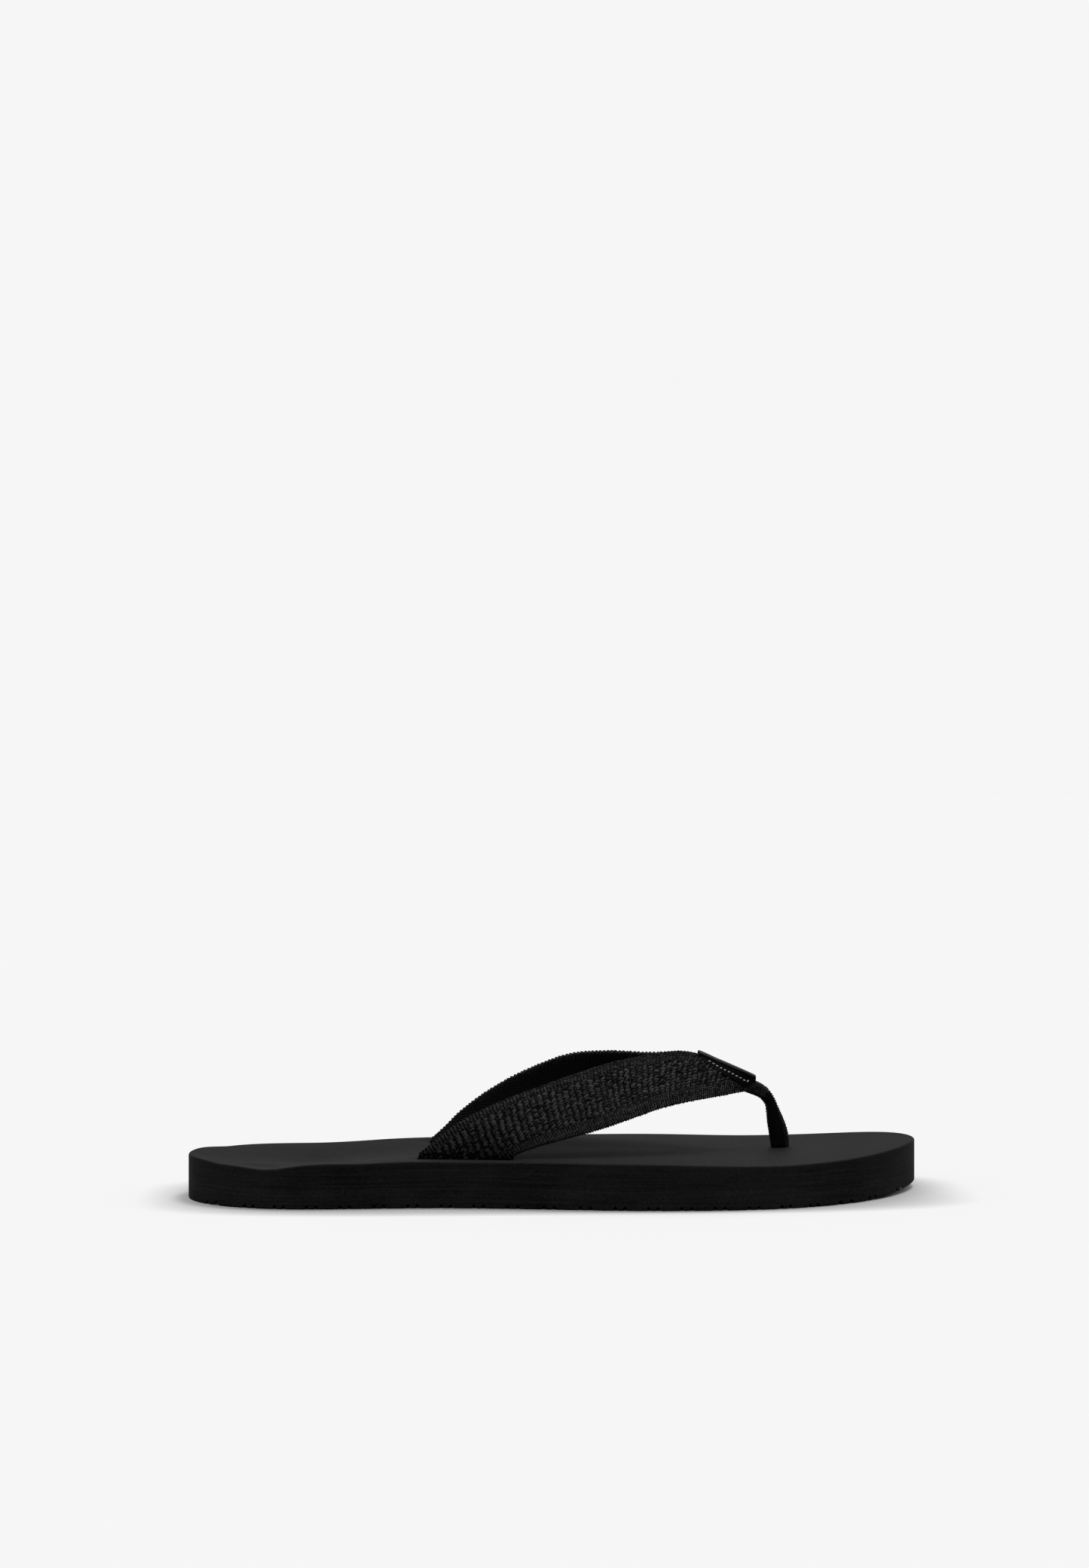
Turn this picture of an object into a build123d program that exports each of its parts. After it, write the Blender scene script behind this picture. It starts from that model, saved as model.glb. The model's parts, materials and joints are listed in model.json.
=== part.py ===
from build123d import *
import math
import os

os.makedirs("parts", exist_ok=True)

# Overall sizes of the sole, in mm.
length = 282.0
ball_width = 105.0
heel_width = 78.0
waist_width = 73.0

# Sole layers.
outsole_thickness = 7.6
footbed_thickness = 9.6
toe_spring = 2.8
toe_rise = 1.7
heel_drop = 1.6
ball_drop = 1.1
heel_cup_depth = 3.4
forefoot_dish_depth = 0.9
arch_height = 1.6
footbed_edge_radius = 2.0
outsole_edge_radius = 2.0

# Tread: pairs of wavy grooves across the outsole.
tread_pitch = 11.8
groove_spacing = 2.9
groove_width = 1.3
groove_depth = 1.3
groove_wave = 1.6
groove_wave_length = 17.0

# Strap.
strap_rise = 37.2
webbing_thickness = 1.6
strap_bulge = 1.5
slot_clearance = 0.3
flap_length = 15.0
flap_clearance = 0.2
strap_lift_gap = 0.4

# Toe post.
post_x = 87.7 / 282.0
post_y = 14.3 / 105.0
post_width = 7.2
post_neck_width = 4.8
post_top_width = 5.2
post_thickness = 4.2
post_height = 18.6
post_reach = 11.6
hole_clearance = 0.3
anchor_length = 22.0
anchor_width = 16.0
anchor_thickness = 1.8
anchor_clearance = 0.2

# Label over the front of the strap.
label_thickness = 0.7
label_clearance = 1.1
label_drop_rear = 3.4
label_drop_front = 4.4
label_overhang = 4.4

# Line across the ball of the foot where the sole bends.
flex_x = 51.5 / 282.0
flex_gap = 0.4

sole_top = outsole_thickness + footbed_thickness
shelf = 60.0


def smoothstep(t):
    t = min(1.0, max(0.0, t))
    return t * t * (3.0 - 2.0 * t)


def bump(t):
    return math.exp(-t * t)


def footbed_height(x, y):
    """Height of the footbed's upper surface at a plan position."""
    u = x / length
    z = sole_top
    z -= heel_drop * (1.0 - smoothstep((u + 0.34) / 0.18))
    z -= ball_drop * bump((u - 0.28) / 0.11)
    z += toe_rise * smoothstep((u - 0.34) / 0.18) ** 1.5
    cup = bump((u + 0.33) / 0.145) * bump(y / (0.34 * heel_width)) ** 1.2
    z -= heel_cup_depth * cup
    dish = bump((u - 0.20) / 0.16) * bump(y / (0.36 * ball_width))
    z -= forefoot_dish_depth * dish
    arch = bump((u + 0.10) / 0.15) * smoothstep((y - 0.02 * ball_width) / (0.40 * ball_width))
    z += arch_height * arch
    return z


def outline_points():
    """Plan outline from the heel, along the outer side, round the toe and back."""
    return [
        (-0.500 * length, 0.01 * heel_width),
        (-0.462 * length, -0.33 * heel_width),
        (-0.385 * length, -0.49 * heel_width),
        (-0.280 * length, -0.515 * heel_width),
        (-0.180 * length, -0.54 * waist_width),
        (-0.060 * length, -0.60 * waist_width),
        (0.070 * length, -0.485 * ball_width),
        (0.200 * length, -0.505 * ball_width),
        (0.320 * length, -0.435 * ball_width),
        (0.420 * length, -0.250 * ball_width),
        (0.480 * length, -0.020 * ball_width),
        (0.500 * length, 0.175 * ball_width),
        (0.487 * length, 0.325 * ball_width),
        (0.440 * length, 0.430 * ball_width),
        (0.350 * length, 0.485 * ball_width),
        (0.220 * length, 0.500 * ball_width),
        (0.100 * length, 0.465 * ball_width),
        (-0.020 * length, 0.535 * waist_width),
        (-0.130 * length, 0.460 * waist_width),
        (-0.240 * length, 0.470 * waist_width),
        (-0.340 * length, 0.470 * heel_width),
        (-0.430 * length, 0.420 * heel_width),
        (-0.482 * length, 0.240 * heel_width),
    ]


def outline_face():
    wire = Wire([Edge.make_spline([Vector(x, y) for x, y in outline_points()], periodic=True)])
    face = Face(wire)
    middle = face.bounding_box().center()
    return face.moved(Location((-middle.X, -middle.Y, 0)))


def sole_blank():
    return extrude(outline_face(), amount=shelf)


def space_above_footbed():
    columns = 41
    rows = 19
    grid = []
    for i in range(columns):
        x = (-0.56 + 1.12 * i / (columns - 1)) * length
        row = []
        for j in range(rows):
            y = (-0.6 + 1.2 * j / (rows - 1)) * ball_width
            row.append(Vector(x, y, footbed_height(x, y)))
        grid.append(row)
    surface = Face.make_surface_from_array_of_points(grid, tol=0.005, min_deg=3, max_deg=5)
    return extrude(surface, amount=shelf, dir=(0, 0, 1))


def slab(bottom, top):
    return Pos(0, 0, (bottom + top) / 2) * Box(1.3 * length, 1.5 * ball_width, top - bottom)


def space_below_outsole():
    """Everything under the walking surface, which curls up at the toe."""
    start = 0.36 * length
    points = []
    for i in range(13):
        t = i / 12
        x = start + t * (0.56 * length - start)
        points.append((x, toe_spring * (t / 0.70) ** 2))
    curve = Spline(*[Vector(x, 0, z) for x, z in points], tangents=[(1, 0, 0), (1, 0, 0.25)])
    end_x = points[-1][0]
    end_z = points[-1][1]
    rest = Polyline((end_x, 0, end_z), (end_x, 0, -5), (start, 0, -5), (start, 0, 0))
    profile = Face(Wire([curve.edge(), *rest.edges()]))
    return extrude(profile, amount=ball_width, dir=(0, 1, 0), both=True)


def wavy_groove(x):
    half_wave = groove_wave_length / 2
    steps = 2 * int(0.6 * ball_width / half_wave) + 2
    left = []
    right = []
    for i in range(steps + 1):
        y = (i - steps / 2) * half_wave
        wave = groove_wave * (1 if i % 2 else -1)
        left.append((x + wave - groove_width / 2, y))
        right.append((x + wave + groove_width / 2, y))
    strip = Polygon(*(right + left[::-1]), align=None)
    return extrude(Pos(0, 0, -1) * strip, amount=1 + groove_depth)


def groove_lift(x):
    t = max(0.0, (x / length - 0.36) / 0.20)
    return toe_spring * (t / 0.70) ** 2


def tread_grooves():
    grooves = []
    count = int(0.94 * length / tread_pitch)
    for i in range(count):
        x = (i - (count - 1) / 2) * tread_pitch
        for side in (-0.5, 0.5):
            centre = x + side * groove_spacing
            if abs(centre - flex_x * length) > groove_wave + groove_width:
                grooves.append(Pos(0, 0, groove_lift(centre)) * wavy_groove(centre))
    return grooves


def half(part, front):
    """The part of a layer on one side of the flex line."""
    cut = flex_x * length
    reach = length
    if front:
        centre = cut + flex_gap / 2 + reach / 2
    else:
        centre = cut - flex_gap / 2 - reach / 2
    return part & (Pos(centre, 0, shelf / 2 - 5) * Box(reach, 2 * ball_width, shelf + 10))


def outsole():
    layer = sole_blank() & slab(0, outsole_thickness)
    layer = layer - space_below_outsole()
    edge = layer.faces().sort_by(Axis.Z)[0].outer_wire().edges()
    try:
        layer = fillet(edge, outsole_edge_radius)
    except ValueError:
        layer = chamfer(edge, outsole_edge_radius / 2)
    return layer - tread_grooves()


def slot_line(side):
    """Rear and front ends of the line where a strap arm meets the footbed."""
    upper, lower = strap_edges(side)
    rear = Vector(upper[0].X, upper[0].Y)
    front = Vector(lower[0].X, lower[0].Y)
    return rear, front


def slot_frame(side):
    rear, front = slot_line(side)
    along = front - rear
    angle = math.degrees(math.atan2(along.Y, along.X))
    middle = (rear + front) / 2
    return middle, angle, along.length


def along_slot(side, run, across, low, high, shift=0.0):
    """A box lined up with a slot; shift moves it towards the middle of the sole."""
    middle, angle, span = slot_frame(side)
    inward = 1 if side == "lateral" else -1
    box = Box(span + run, across, high - low)
    local = Pos(0, inward * shift, (low + high) / 2) * box
    return Pos(middle.X, middle.Y, 0) * Rot(0, 0, angle) * local


def strap_cavity(side):
    width = webbing_thickness + 2 * slot_clearance
    slot = along_slot(side, 2 * slot_clearance, width, outsole_thickness - 1, shelf)
    depth = webbing_thickness + flap_clearance
    reach = flap_length + width / 2 + flap_clearance
    pocket = along_slot(
        side,
        2 * slot_clearance,
        reach,
        outsole_thickness - 1,
        outsole_thickness + depth,
        shift=reach / 2 - width / 2,
    )
    return slot + pocket


def strap_tail(side):
    """Webbing in the slot, with its flap bonded between the layers."""
    bottom = outsole_thickness + flap_clearance / 2
    middle, _, _ = slot_frame(side)
    top = footbed_height(middle.X, middle.Y) - 0.4
    stem = along_slot(side, 0, webbing_thickness, bottom, top)
    reach = flap_length + webbing_thickness / 2
    flap = along_slot(
        side,
        0,
        reach,
        bottom,
        bottom + webbing_thickness,
        shift=reach / 2 - webbing_thickness / 2,
    )
    return stem + flap


def post_foot():
    return Vector(post_x * length, post_y * ball_width)


def post_bearing_radius():
    return post_width / 2


def post_pivot_z():
    foot = post_foot()
    return footbed_height(foot.X, foot.Y) + post_bearing_radius() + 0.5


def post_hole():
    foot = post_foot()
    return Pos(foot.X, foot.Y, shelf / 2) * Box(
        post_width + 2 * hole_clearance, post_thickness + 2 * hole_clearance, shelf
    )


def anchor_recess():
    foot = post_foot()
    depth = anchor_thickness + anchor_clearance
    return Pos(foot.X, foot.Y, outsole_thickness - 1 + (1 + depth) / 2) * Box(
        anchor_length + 2 * anchor_clearance, anchor_width + 2 * anchor_clearance, 1 + depth
    )


def toe_anchor():
    """Plate between the layers with an opening for the tail of the toe post."""
    foot = post_foot()
    bottom = outsole_thickness + anchor_clearance / 2
    plate = Box(anchor_length, anchor_width, anchor_thickness)
    plate = fillet(plate.edges().filter_by(Axis.Z), 3.0)
    opening = Box(
        post_width + 2 * hole_clearance, post_thickness + 2 * hole_clearance, 2 * anchor_thickness
    )
    return Pos(foot.X, foot.Y, bottom + anchor_thickness / 2) * (plate - opening)


def toe_post_tail():
    foot = post_foot()
    bottom = outsole_thickness + anchor_clearance / 2
    top = footbed_height(foot.X, foot.Y) - 0.1
    return Pos(foot.X, foot.Y, (bottom + top) / 2) * Box(
        post_width, post_thickness, top - bottom
    )


def footbed():
    layer = sole_blank() & slab(outsole_thickness, shelf)
    layer = layer - space_above_footbed()
    rim = layer.faces().sort_by(Axis.Z)[-1].outer_wire().edges()
    try:
        layer = fillet(rim, footbed_edge_radius)
    except ValueError:
        layer = fillet(rim, footbed_edge_radius / 2)
    for side in ("lateral", "medial"):
        layer = layer - strap_cavity(side)
    return layer - post_hole() - anchor_recess()


def in_sole(fx, fy, fz):
    """A point given as shares of the length, the ball width and the strap's rise."""
    return Vector(fx / 282 * length, fy / 105 * ball_width, sole_top + fz / 37.2 * strap_rise)


def strap_edges(side):
    """Upper and lower edge of an arm, from its base to the toe post."""
    if side == "lateral":
        upper = [
            (-54.5, -24.0, 0.5), (-46.8, -22.3, 6.4), (-36.9, -20.0, 13.0), (-22.1, -16.5, 19.7),
            (-3.0, -11.0, 26.1), (17.1, -4.6, 32.1), (30.0, 0.0, 34.5), (42.6, 4.5, 36.3),
            (52.5, 8.6, 35.6), (63.0, 10.9, 31.3), (73.4, 12.0, 26.1),
        ]
        lower = [
            (-20.0, -31.0, 0.0), (-16.5, -31.9, 2.2), (-11.0, -31.8, 4.2), (-3.0, -31.0, 6.4),
            (8.0, -28.8, 8.9), (18.0, -25.6, 11.4), (27.0, -22.2, 14.1), (38.0, -16.2, 17.0),
            (49.0, -9.3, 18.7), (60.5, -0.2, 19.6), (72.4, 10.6, 20.8),
        ]
    else:
        upper = [
            (-48.5, 24.5, 0.8), (-43.0, 25.5, 5.6), (-35.5, 26.2, 12.6), (-24.0, 26.0, 20.8),
            (-10.9, 24.8, 27.8), (5.0, 21.6, 34.0), (20.0, 19.2, 35.5), (36.0, 17.0, 35.0),
            (52.5, 15.2, 35.2), (63.0, 14.5, 31.3), (73.4, 14.4, 26.1),
        ]
        lower = [
            (-14.0, 29.0, 0.5), (-11.0, 31.0, 3.0), (-6.0, 33.0, 5.8), (3.0, 34.4, 8.4),
            (13.0, 35.0, 11.0), (23.0, 34.0, 13.4), (33.0, 31.6, 15.6), (43.0, 28.0, 17.4),
            (53.0, 22.8, 18.8), (62.6, 18.2, 19.7), (72.4, 15.8, 20.8),
        ]
    return [in_sole(*p) for p in upper], [in_sole(*p) for p in lower]


def strap_arm(side):
    upper, lower = strap_edges(side)
    upper_curve = Spline(*upper)
    lower_curve = Spline(*lower)
    outward = -1 if side == "lateral" else 1
    rows = 7
    columns = 33
    grid = []
    for i in range(columns):
        top = upper_curve @ (i / (columns - 1))
        low = lower_curve @ (i / (columns - 1))
        width = (top - low).length
        row = []
        for j in range(rows):
            t = j / (rows - 1)
            point = low + (top - low) * t
            bow = strap_bulge * 4 * t * (1 - t) * min(1.0, width / 30.0)
            share = smoothstep((top.Z - sole_top) / 12.0)
            row.append(point + Vector(0, outward * 0.75 * bow * share, 0.65 * bow * share))
        grid.append(row)
    middle = Face.make_surface_from_array_of_points(grid, tol=0.02, min_deg=3, max_deg=5)
    arm = thicken(middle, amount=webbing_thickness / 2, both=True)
    rear, front = slot_line(side)
    floor_z = max(footbed_height(p.X, p.Y) for p in (rear, front, (rear + front) / 2))
    clear = slab(-5, floor_z + strap_lift_gap)
    return arm - clear


def toe_post():
    """Post from its bearing above the footbed up to the front of the strap."""
    foot = post_foot()
    low = post_pivot_z()
    path = Spline(
        Vector(foot.X, foot.Y, low),
        Vector(foot.X - 1.6, foot.Y - 0.2, low + 0.25 * post_height),
        Vector(foot.X - 3.0, foot.Y - 0.4, low + 0.58 * post_height),
        Vector(foot.X - 5.6, foot.Y - 0.8, low + 0.86 * post_height),
        Vector(foot.X - post_reach, foot.Y - 1.1, low + post_height),
        tangents=[(-0.3, 0, 1), (-1, 0, 0.35)],
    )
    start = Plane(origin=path @ 0, x_dir=(1, 0, 0), z_dir=path % 0)
    neck = Plane(origin=path @ 0.5, x_dir=(1, 0, 0.2), z_dir=path % 0.5)
    end = Plane(origin=path @ 1, x_dir=(0.4, 0, 1), z_dir=path % 1)
    sections = [
        start * RectangleRounded(post_width, post_thickness, 1.2),
        neck * RectangleRounded(post_neck_width, 0.95 * post_thickness, 1.2),
        end * RectangleRounded(post_top_width, 0.8 * post_thickness, 1.2),
    ]
    post = sweep(sections=sections, path=path, multisection=True)
    bearing = Pos(foot.X, foot.Y, low) * Rot(90, 0, 0) * Cylinder(
        post_bearing_radius(), post_thickness
    )
    return post + bearing


def toe_post_tongue():
    """Upper end of the toe post webbing, sewn between the two arms."""
    upper, _ = strap_edges("lateral")
    _, lower = strap_edges("lateral")
    other, _ = strap_edges("medial")
    gap = other[-1].Y - upper[-1].Y - webbing_thickness
    middle_y = (other[-1].Y + upper[-1].Y) / 2
    end = upper[-1]
    base = lower[-1]
    outline = Polyline(
        (end.X - 0.5, 0, end.Z - 2.6),
        (end.X - 10.0, 0, end.Z - 0.8),
        (end.X - 10.0, 0, end.Z - 5.0),
        (base.X - 0.5, 0, base.Z + 1.4),
        close=True,
    )
    plate = extrude(Face(Wire(outline.edges())), amount=0.35 * gap, dir=(0, 1, 0), both=True)
    return Pos(0, middle_y, 0) * plate


def strap_label():
    """Woven band folded over the ridge where the two arms meet."""
    near_upper, near_lower = strap_edges("lateral")
    far_upper, far_lower = strap_edges("medial")
    stand = webbing_thickness / 2 + label_clearance + label_thickness / 2
    grid = []
    stations = ((8, 0.0), (9, 0.0), (10, 0.0), (10, label_overhang))
    for i, (k, ahead) in enumerate(stations):
        forward = (near_upper[k] - near_upper[k - 1]).normalized() * ahead
        a = near_upper[k] + forward
        b = far_upper[k] + forward
        down_a = (near_lower[k] - near_upper[k]).normalized()
        down_b = (far_lower[k] - far_upper[k]).normalized()
        drop = label_drop_rear + (label_drop_front - label_drop_rear) * i / 3
        out_a = Vector(0, -stand, 0.35 * stand)
        out_b = Vector(0, stand, 0.35 * stand)
        crown = (a + b) / 2 + Vector(0, 0, stand + 0.5)
        grid.append(
            [
                a + down_a * drop + out_a,
                a + down_a * 0.5 * drop + out_a,
                a + out_a + Vector(0, 0, 0.1),
                a + Vector(0, -0.45 * stand, 0.95 * stand),
                crown,
                b + Vector(0, 0.45 * stand, 0.95 * stand),
                b + out_b + Vector(0, 0, 0.1),
                b + down_b * 0.5 * drop + out_b,
                b + down_b * drop + out_b,
            ]
        )
    middle = Face.make_surface_from_array_of_points(grid, tol=0.02, min_deg=2, max_deg=4)
    return thicken(middle, amount=label_thickness / 2, both=True)


def write(node, part):
    solids = part.solids()
    print(node, len(solids), [round(v, 1) for v in part.bounding_box().size])
    export_step(part, f"parts/{node}.step")


whole_outsole = outsole()
whole_footbed = footbed()
write("outsole_rear", half(whole_outsole, front=False))
write("outsole_front", half(whole_outsole, front=True))
write("footbed_rear", half(whole_footbed, front=False))
write("footbed_front", half(whole_footbed, front=True))
write("lateral_strap_tail", strap_tail("lateral"))
write("medial_strap_tail", strap_tail("medial"))
write("lateral_strap", strap_arm("lateral"))
write("medial_strap", strap_arm("medial"))
write("toe_post_tongue", toe_post_tongue())
write("strap_label", strap_label())
write("toe_post", toe_post())
write("toe_post_tail", toe_post_tail())
write("toe_anchor", toe_anchor())
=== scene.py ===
# %% [markdown]
# # A men's flip flop with a woven strap
# A flip flop is a simple thing: two layers of foam, a strap in a V and a post between the toes.
# What makes one look real is the surface of each part. So this lesson spends its effort on the
# curve of the foam, the tread that shows at the edge, and the raised weave of the strap.
# All lengths are in metres, +X points to the toe, +Y to the inner side of the foot and +Z up.

# %% Load the CAD frame
import json
import math

import bmesh
import bpy
import numpy as np
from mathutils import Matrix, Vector


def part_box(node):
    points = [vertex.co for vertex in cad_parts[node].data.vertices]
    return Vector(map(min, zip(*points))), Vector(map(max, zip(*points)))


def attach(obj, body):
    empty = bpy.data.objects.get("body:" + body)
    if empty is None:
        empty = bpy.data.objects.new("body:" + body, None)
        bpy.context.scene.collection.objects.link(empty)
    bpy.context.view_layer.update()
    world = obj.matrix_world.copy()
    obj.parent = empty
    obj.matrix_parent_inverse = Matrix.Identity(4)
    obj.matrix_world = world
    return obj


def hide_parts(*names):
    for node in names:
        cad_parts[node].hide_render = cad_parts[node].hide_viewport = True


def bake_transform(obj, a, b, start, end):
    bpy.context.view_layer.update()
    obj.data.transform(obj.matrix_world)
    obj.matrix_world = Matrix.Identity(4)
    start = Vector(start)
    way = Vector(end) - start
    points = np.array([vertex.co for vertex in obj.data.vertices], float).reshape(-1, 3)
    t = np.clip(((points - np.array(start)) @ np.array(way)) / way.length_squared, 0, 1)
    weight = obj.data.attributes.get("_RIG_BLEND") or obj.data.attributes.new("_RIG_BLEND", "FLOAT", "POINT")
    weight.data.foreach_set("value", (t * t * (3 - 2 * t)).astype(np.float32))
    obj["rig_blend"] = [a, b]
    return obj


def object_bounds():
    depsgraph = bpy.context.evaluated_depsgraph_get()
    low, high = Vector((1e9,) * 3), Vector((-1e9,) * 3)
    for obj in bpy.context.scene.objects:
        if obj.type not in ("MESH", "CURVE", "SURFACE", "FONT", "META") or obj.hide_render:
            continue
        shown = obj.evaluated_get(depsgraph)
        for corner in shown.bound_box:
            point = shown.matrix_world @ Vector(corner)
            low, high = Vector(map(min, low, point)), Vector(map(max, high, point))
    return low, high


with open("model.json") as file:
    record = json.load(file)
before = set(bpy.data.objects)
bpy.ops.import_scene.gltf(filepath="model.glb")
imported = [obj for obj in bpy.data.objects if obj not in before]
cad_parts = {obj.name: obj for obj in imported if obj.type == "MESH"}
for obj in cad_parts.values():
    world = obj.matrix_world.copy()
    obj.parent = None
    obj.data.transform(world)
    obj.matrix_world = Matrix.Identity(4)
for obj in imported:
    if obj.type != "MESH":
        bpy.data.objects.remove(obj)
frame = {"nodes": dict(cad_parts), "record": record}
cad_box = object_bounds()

MM = 0.001
print("whole object:", [round(v * 1000) for v in (cad_box[1] - cad_box[0])], "mm")

# %% [markdown]
# ## The joints, and the heights that everything hangs on
# The sole bends across the ball of the foot. The CAD model stands in for that bend with a hinge,
# and the visual layers are made whole and bent softly over it, as foam bends.
# Sizes are read from the CAD nodes, so this model can't drift away from the other one.

# %% Read the main sizes
joints = {j["name"]: j for j in frame["record"]["behaviour"]["joints"]}
flex_line = Vector(joints["ball_flex"]["pos_m"])
post_pivot = Vector(joints["toe_post_lean"]["pos_m"])
parting_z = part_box("outsole_rear")[1].z
sole_length = cad_box[1].x - cad_box[0].x
print("parting line at", round(parting_z / MM, 2), "mm; sole", round(sole_length / MM), "mm long")

# %% [markdown]
# ## Small tools for making meshes
# Nearly every piece here is a grid of points that some rule places. One helper turns points and
# faces into a mesh, one draws a smooth curve through a few points, and others measure distances
# along a row of points, because cloth and stitches are spaced by real distance.


# %% Mesh helpers
def in_scene(name, data):
    """Put a mesh, lamp or camera into the scene as an object."""
    made = bpy.data.objects.new(name, data)
    bpy.context.collection.objects.link(made)
    return made


def thrown_away(piece):
    data = piece.data
    bpy.data.objects.remove(piece)
    bpy.data.meshes.remove(data)


def new_piece(name, points, faces, material=None):
    mesh = bpy.data.meshes.new(name)
    mesh.from_pydata([tuple(p) for p in points], [], faces)
    mesh.update()
    mesh.shade_smooth()
    if material:
        mesh.materials.append(material)
    return in_scene(name, mesh)


def distance_along(points):
    """Running distance from the first of a row of points."""
    return np.r_[0, np.cumsum(np.linalg.norm(np.diff(points, axis=0), axis=1))]


def distance_across(grid):
    """Running distance across each row of a grid, from its first column."""
    steps = np.linalg.norm(np.diff(grid, axis=1), axis=2)
    return np.concatenate([np.zeros((len(grid), 1)), np.cumsum(steps, axis=1)], axis=1)


def at_distances(points, distances, wanted):
    columns = range(points.shape[1])
    return np.stack([np.interp(wanted, distances, points[:, k]) for k in columns], 1)


def smooth_through(points, count):
    """Evenly spaced points on a smooth curve through the given ones (Catmull-Rom)."""
    given = [np.array(p, float) for p in points]
    last = len(given) - 1
    dense = []
    for i in range(last):
        b, c = given[i], given[i + 1]
        a = given[i - 1] if i > 0 else 2 * b - c
        d = given[i + 2] if i + 1 < last else 2 * c - b
        for t in np.arange(24) / 24:
            dense.append(
                0.5
                * (
                    2 * b
                    + (c - a) * t
                    + (2 * a - 5 * b + 4 * c - d) * t**2
                    + (3 * b - a - 3 * c + d) * t**3
                )
            )
    dense.append(given[-1])
    dense = np.array(dense)
    steps = distance_along(dense)
    return at_distances(dense, steps, np.linspace(0, steps[-1], count))


def smoothstep(t):
    t = np.clip(t, 0.0, 1.0)
    return t * t * (3 - 2 * t)


def bump(t):
    return np.exp(-np.square(t))


def outward_normals(piece):
    bm = bmesh.new()
    bm.from_mesh(piece.data)
    bmesh.ops.remove_doubles(bm, verts=bm.verts, dist=1e-6)
    bmesh.ops.recalc_face_normals(bm, faces=bm.faces)
    bm.to_mesh(piece.data)
    bm.free()


def triangles(piece):
    piece.data.calc_loop_triangles()
    return len(piece.data.loop_triangles)


# %% [markdown]
# ## Materials
# Everything on this sandal is nearly black, so colour says little and surface says a lot.
# Foam is matt with a fine grain. Woven yarn is a touch lighter and catches light on each float.
# The label has a close satin weave. Each material reads the piece's own Object coordinates.
# Yarn also reads an attribute called shade, which gives every float a slightly different tone.
# The same attribute carries painted shade too: darker towards the roots, near black under the
# floats and in the rib valleys, and a painted highlight on the label's top fold.


# %% Node helpers for materials
def new_material(name, colour, roughness, specular):
    material = bpy.data.materials.new(name)
    material.use_nodes = True
    shader = material.node_tree.nodes["Principled BSDF"]
    shader.inputs["Base Color"].default_value = (*colour, 1.0)
    shader.inputs["Roughness"].default_value = roughness
    shader.inputs["Specular IOR Level"].default_value = specular
    return material, material.node_tree, shader


def add_node(tree, kind, values=None, **settings):
    node = tree.nodes.new(kind)
    for key, value in settings.items():
        setattr(node, key, value)
    for key, value in (values or {}).items():
        node.inputs[key].default_value = value
    return node


def colour_range(tree, shader, factor, colour, tones, low, high):
    """Base colour that goes from the darker to the lighter tone as the factor rises."""
    ramp = add_node(tree, "ShaderNodeValToRGB")
    for element, tone, place in zip(ramp.color_ramp.elements, tones, (low, high)):
        element.position = place
        element.color = (*(tone * c for c in colour), 1)
    tree.links.new(factor, ramp.inputs["Fac"])
    tree.links.new(ramp.outputs["Color"], shader.inputs["Base Color"])


def add_math(tree, operation, *values):
    """A Math node fed by sockets or plain numbers."""
    node = add_node(tree, "ShaderNodeMath", operation=operation)
    for socket, value in zip(node.inputs, values):
        if isinstance(value, bpy.types.NodeSocket):
            tree.links.new(value, socket)
        else:
            socket.default_value = value
    return node.outputs[0]


def object_noise(tree, scale, detail, roughness=0.6):
    where = add_node(tree, "ShaderNodeTexCoord")
    noise = add_node(
        tree, "ShaderNodeTexNoise", {"Scale": scale, "Detail": detail, "Roughness": roughness}
    )
    tree.links.new(where.outputs["Object"], noise.inputs["Vector"])
    return noise.outputs["Fac"]


def add_bump(tree, shader, height, strength, distance, after=None):
    node = add_node(tree, "ShaderNodeBump", {"Strength": strength, "Distance": distance})
    tree.links.new(height, node.inputs["Height"])
    if after:
        tree.links.new(after.outputs["Normal"], node.inputs["Normal"])
    tree.links.new(node.outputs["Normal"], shader.inputs["Normal"])
    return node


# %% Foam of the footbed and of the outsole
streak_scale = (26.0, 60.0, 1500.0)
cloud_scale = 34.0
speck_scale = 1100.0


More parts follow.
